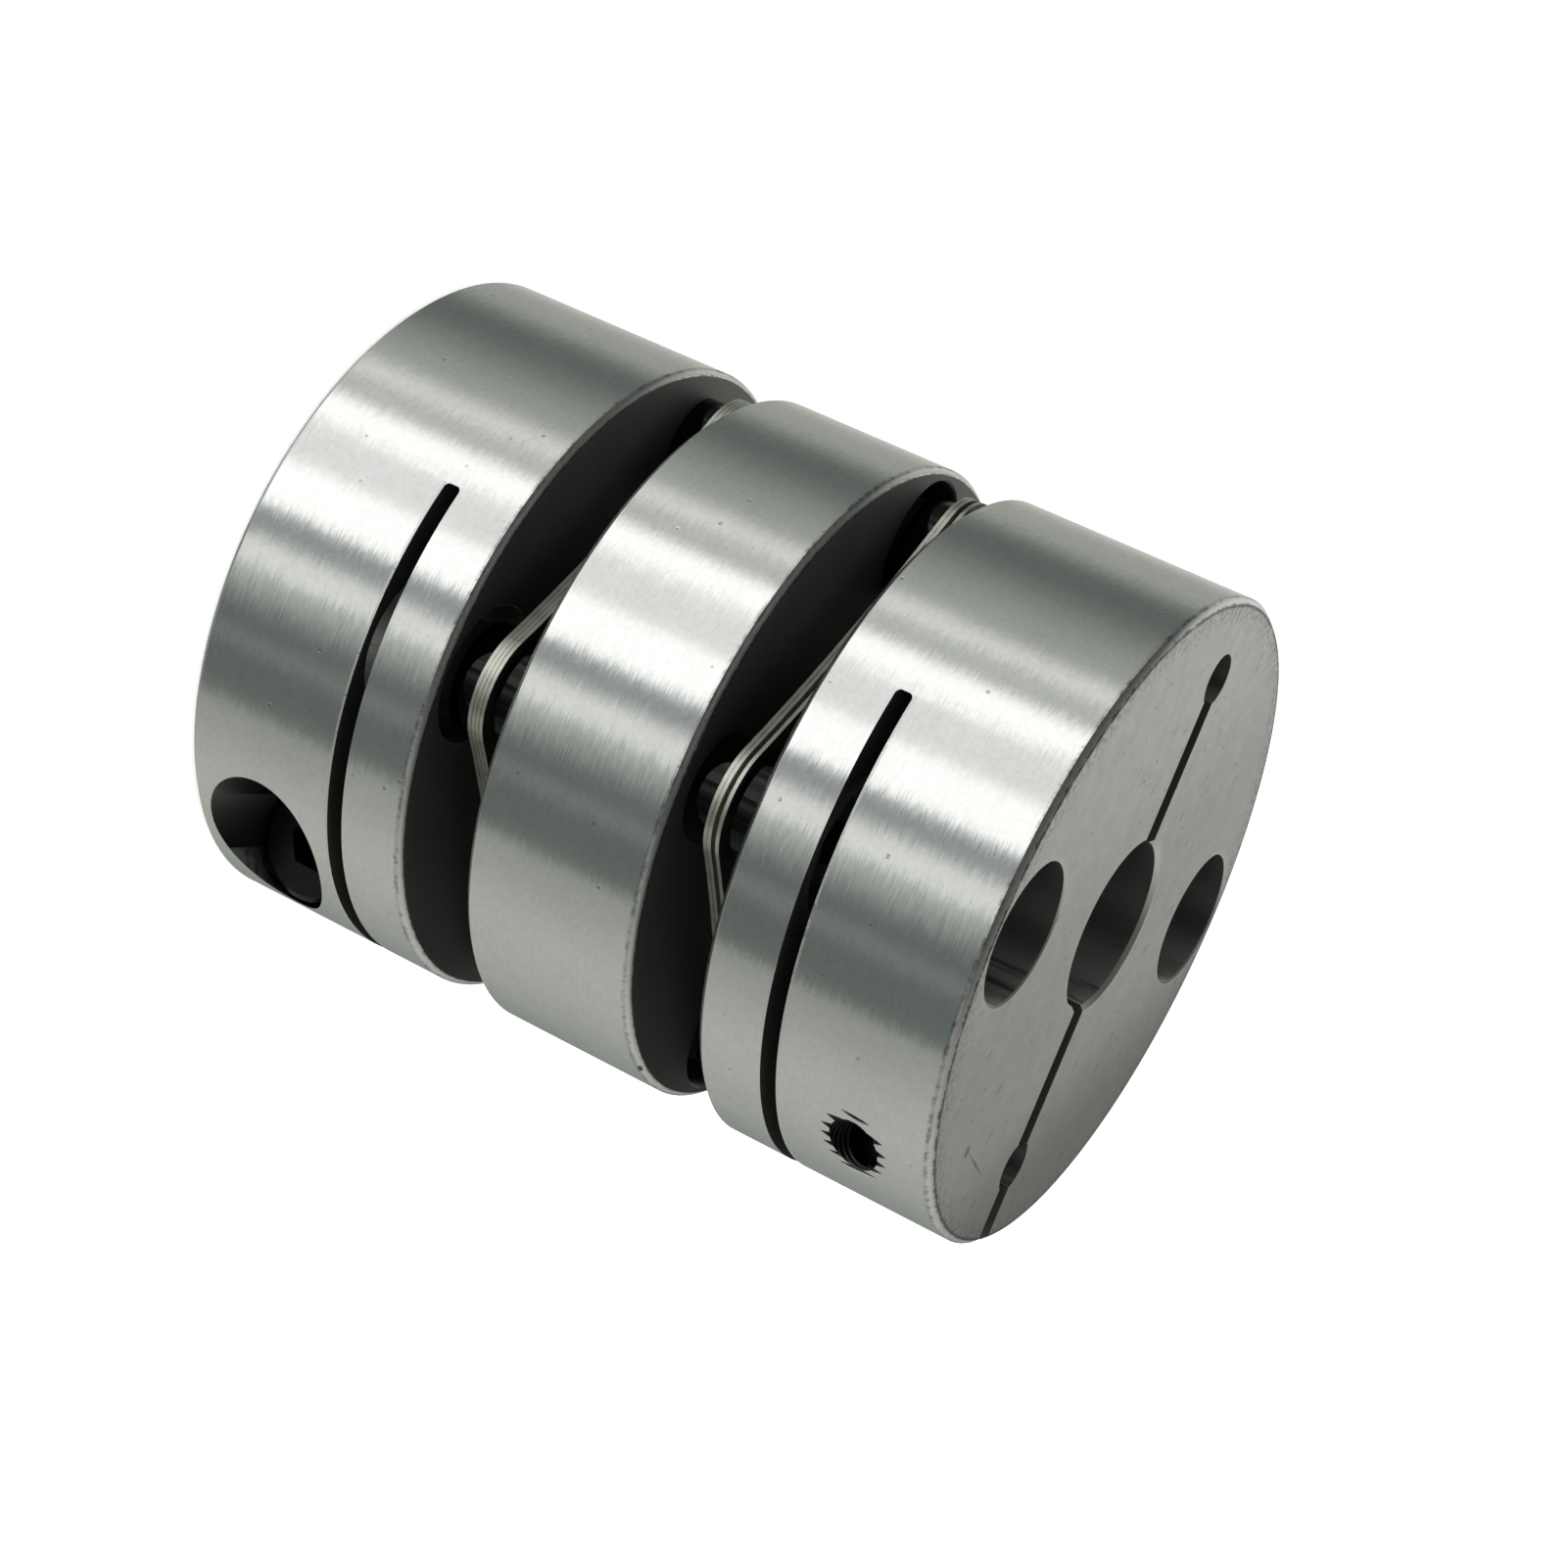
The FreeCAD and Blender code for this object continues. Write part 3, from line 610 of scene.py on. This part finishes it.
def thread_turns(name, axis_x, start, axis_z, outwards):
    """Right-handed turns from start past the wall; outwards is -1 or 1 along Y."""
    turns = math.ceil((WALL_RADIUS * THREAD_REACH - abs(start)) / THREAD_PITCH)
    mesh = bmesh.new()
    corners = [
        mesh.verts.new((axis_x + radius, start + along, axis_z))
        for radius, along in (
            (THREAD_ROOT_RADIUS, -THREAD_ROOT_WIDTH / 2), (THREAD_CREST_RADIUS, -THREAD_CREST_WIDTH / 2),
            (THREAD_CREST_RADIUS, THREAD_CREST_WIDTH / 2), (THREAD_ROOT_RADIUS, THREAD_ROOT_WIDTH / 2))]
    profile = mesh.faces.new(corners)
    bmesh.ops.spin(
        mesh, geom=[profile, *profile.edges, *profile.verts], cent=(axis_x, 0, axis_z), axis=(0, 1, 0),
        dvec=(0, outwards * THREAD_PITCH / THREAD_STEPS, 0), angle=outwards * math.tau * turns,
        steps=THREAD_STEPS * turns)
    open_edges = [edge for edge in mesh.edges if len(edge.link_faces) == 1]
    bmesh.ops.holes_fill(mesh, edges=open_edges, sides=len(corners))
    bmesh.ops.recalc_face_normals(mesh, faces=mesh.faces)
    bmesh.ops.triangulate(mesh, faces=mesh.faces)
    return shown_mesh(name, mesh)


def hub_blank(hub):
    """The plain round of the hub, up to its wall."""
    low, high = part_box(hub)
    mesh = bmesh.new()
    bmesh.ops.create_cone(
        mesh, cap_ends=True, segments=WALL_STEPS, radius1=WALL_RADIUS, radius2=WALL_RADIUS,
        depth=high[2] - low[2])
    bmesh.ops.translate(mesh, verts=mesh.verts, vec=(0, 0, (low[2] + high[2]) / 2))
    return shown_mesh("hub_blank", mesh)


def clamp_thread(name, screw, hub, outwards):
    """The thread between the screw's point and the hub's wall, where its turns are cut off."""
    low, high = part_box(screw)
    point = (high if outwards > 0 else low)[1]
    start = point + outwards * (SCREW_POINT_CLEARANCE + THREAD_PITCH / 2)
    thread = thread_turns(name, (low[0] + high[0]) / 2, start, (low[2] + high[2]) / 2, outwards)
    blank = hub_blank(hub)
    trim = thread.modifiers.new("trim", "BOOLEAN")
    trim.operation = "INTERSECT"
    trim.solver = "EXACT"
    trim.object = blank
    graph = bpy.context.evaluated_depsgraph_get()
    thread.data = bpy.data.meshes.new_from_object(thread.evaluated_get(graph))
    thread.modifiers.clear()
    bpy.data.objects.remove(blank)
    thread.data.name = name
    thread.data.materials.clear()
    thread.data.materials.append(tapped.material)
    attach(thread, "root")


clamp_thread("upper_clamp_thread", "upper_clamp_screw", "upper_clamp_hub", -1)
clamp_thread("lower_clamp_thread", "lower_clamp_screw", "lower_clamp_hub", 1)


# Floor: a wide pale sheet under the coupling. It shows to the camera but not in the metal,
# which mirrors the studio round it instead.
FLOOR_HALF_WIDTH = 4.0
FLOOR_DROP = 0.00002
FLOOR_PALE = (0.9, 0.9, 0.9, 1)
FLOOR_ROUGHNESS = 0.9
FLOOR_LIGHT = (1, 1, 1, 1)
FLOOR_GLOW = 0.62

floor_sheet = bmesh.new()
bmesh.ops.create_grid(floor_sheet, x_segments=1, y_segments=1, size=FLOOR_HALF_WIDTH)
bmesh.ops.translate(floor_sheet, verts=floor_sheet.verts, vec=(0, 0, -FLOOR_DROP))
floor = shown_mesh("floor", floor_sheet)
floor.visible_glossy = False
floor_paint = Finish("floor_finish")
floor_paint.surface(floor_paint.metal(
    Base_Color=FLOOR_PALE, Roughness=FLOOR_ROUGHNESS, Emission_Color=FLOOR_LIGHT,
    Emission_Strength=FLOOR_GLOW))
floor.data.materials.append(floor_paint.material)


# Studio: a white room to the camera. The metal mirrors it as a ring of soft upright panels round the
# coupling, each given by the bearings where it begins and ends, counted in degrees from the camera,
# with the half width of its soft edges, how bright it is, and its colour.
MIRROR_AZIMUTH = math.radians(-99.14)
ROOM_BRIGHTNESS = 0.134
ROOM_COLOUR = (0.87, 1.0, 0.92)
PANELS = (
    # name, begins, soft edge, ends, soft edge, brightness, colour
    ("rear_wall_left", -176, 4, -159, 15, 0.30, (0.99, 1.0, 0.96)),
    ("left_wall", -176, 4, -124.4, 9.4, 0.23, (1.0, 1.0, 0.90)),
    ("left_screen", -92.3, 18.7, -56.9, 1.6, 0.25, (1.0, 1.0, 0.93)),
    ("left_bar", -72.1, 3.9, -64.6, 2.0, 0.44, (1.0, 1.0, 0.98)),
    ("window_frame", -65.8, 1.6, -56.9, 1.8, 0.14, (0.98, 1.0, 1.02)),
    ("window", -55.6, 2.0, -6.8, 1.0, 0.72, (1.0, 1.0, 0.985)),
    ("window_left_pane", -52.8, 0.8, -42.4, 4.4, 0.50, (1.0, 1.0, 0.98)),
    ("window_right_pane", -24.4, 1.1, -7.4, 0.8, 0.44, (1.0, 1.0, 0.98)),
    ("post", -7, 1.0, 2.8, 0.8, 0.155, (0.95, 1.0, 1.03)),
    ("strip_light", 3.5, 3.5, 14.1, 1.8, 0.70, (1.01, 1.0, 0.975)),
    ("strip_wash", 13.7, 2.0, 22.2, 10.5, 0.39, (0.96, 1.0, 0.95)),
    ("faint_line", 35.6, 2.0, 42.5, 2.0, 0.07, (1.0, 1.0, 0.98)),
    ("right_wall", 62.0, 1.8, 150.8, 20.7, 0.20, (1.0, 1.0, 0.90)),
    ("right_wall_middle", 80, 17.7, 126.5, 27, 0.13, (1.0, 1.0, 0.93)),
    ("rear_right", 150, 22, 176, 4, 0.12, (0.98, 1.0, 0.95)),
)
OVERHEAD_DARK = 0.09
OVERHEAD_GLOW = 0.22
REAR_LEFT_GLOW = 0.43
HIGH_RIGHT_GLOW = 0.20
OVERHEAD_COLOUR = (0.98, 1.0, 0.955)
WHITE = (1.0, 1.0, 1.0)

world = bpy.data.worlds.new("studio")
world.use_nodes = True
bpy.context.scene.world = world
studio = Recipe(world.node_tree)
east, north, up = studio.split(studio.add("ShaderNodeTexCoord", output="Generated"))
ahead = east * math.cos(MIRROR_AZIMUTH) + north * math.sin(MIRROR_AZIMUTH)
rightwards = north * math.cos(MIRROR_AZIMUTH) - east * math.sin(MIRROR_AZIMUTH)
bearing = studio.math("ARCTAN2", rightwards, ahead) * math.degrees(1)
panels = studio.scaled(ROOM_COLOUR, ROOM_BRIGHTNESS)
for panel_name, begins, first_edge, ends, last_edge, brightness, colour in PANELS:
    share = (studio.fade(bearing, begins - first_edge, begins + first_edge)
             - studio.fade(bearing, ends - last_edge, ends + last_edge))
    panels = studio.vector_math("ADD", panels, studio.scaled(colour, share * brightness))

# Overhead it is dark to the front and left, and glows softly towards the back and right
rear_right = studio.fade(rightwards * 0.5 - ahead * 0.85, 0.1, 0.9)
rear_left = (studio.fade(rightwards, 0.06, -0.10) * studio.fade(ahead, -0.4, -0.85)
             * studio.fade(up, 0.75, 0.45))
high_right = studio.fade(rightwards, 0.3, 0.6)
overhead_light = studio.scaled(
    OVERHEAD_COLOUR,
    OVERHEAD_DARK + rear_right * OVERHEAD_GLOW + rear_left * REAR_LEFT_GLOW + high_right * HIGH_RIGHT_GLOW)
mirrored = studio.mix_vectors(studio.fade(up, -0.05, 0.1), panels, overhead_light)
to_camera = studio.add("ShaderNodeLightPath", output="Is Camera Ray")
background = studio.add("ShaderNodeBackground", inputs={
    "Color": studio.mix_vectors(to_camera, mirrored, WHITE), "Strength": 1.0})
studio.add("ShaderNodeOutputWorld", inputs={"Surface": background})

# A soft light from overhead, which the metal doesn't mirror: it lights the floor and the screws' oxide
SUN_STRENGTH = 1.6
SUN_SPREAD = math.radians(120)

soft_sun = bpy.data.lights.new("soft_overhead", "SUN")
soft_sun.energy = SUN_STRENGTH
soft_sun.angle = SUN_SPREAD
overhead = bpy.data.objects.new("soft_overhead", soft_sun)
overhead.visible_glossy = False
bpy.context.collection.objects.link(overhead)


# Camera: it looks at the coupling from above its side, rolled so that the axis lies across the picture.
# Its place, its roll and its lens are those fitted to the photograph.
CAMERA_AIM = Vector((0.000885, 0.000968, 0.027319))
CAMERA_AZIMUTH = math.radians(-99.351)
CAMERA_ELEVATION = math.radians(21.299)
CAMERA_DISTANCE = 0.21013
CAMERA_ROLL = math.radians(115.357)
CAMERA_LENS = 83.854
CAMERA_SENSOR_WIDTH = 36
CAMERA_NEAREST = 0.01

camera_data = bpy.data.cameras.new("camera")
camera_data.lens = CAMERA_LENS
camera_data.sensor_width = CAMERA_SENSOR_WIDTH
camera_data.clip_start = CAMERA_NEAREST
camera = bpy.data.objects.new("camera", camera_data)
outwards_to_camera = Vector((
    math.cos(CAMERA_ELEVATION) * math.cos(CAMERA_AZIMUTH),
    math.cos(CAMERA_ELEVATION) * math.sin(CAMERA_AZIMUTH),
    math.sin(CAMERA_ELEVATION)))
camera.location = CAMERA_AIM + outwards_to_camera * CAMERA_DISTANCE
level = (-outwards_to_camera).to_track_quat("-Z", "Y")
camera.rotation_mode = "QUATERNION"
camera.rotation_quaternion = level @ Quaternion((0, 0, 1), CAMERA_ROLL)
bpy.context.collection.objects.link(camera)
bpy.context.scene.camera = camera
bpy.context.scene.view_settings.view_transform = "Standard"
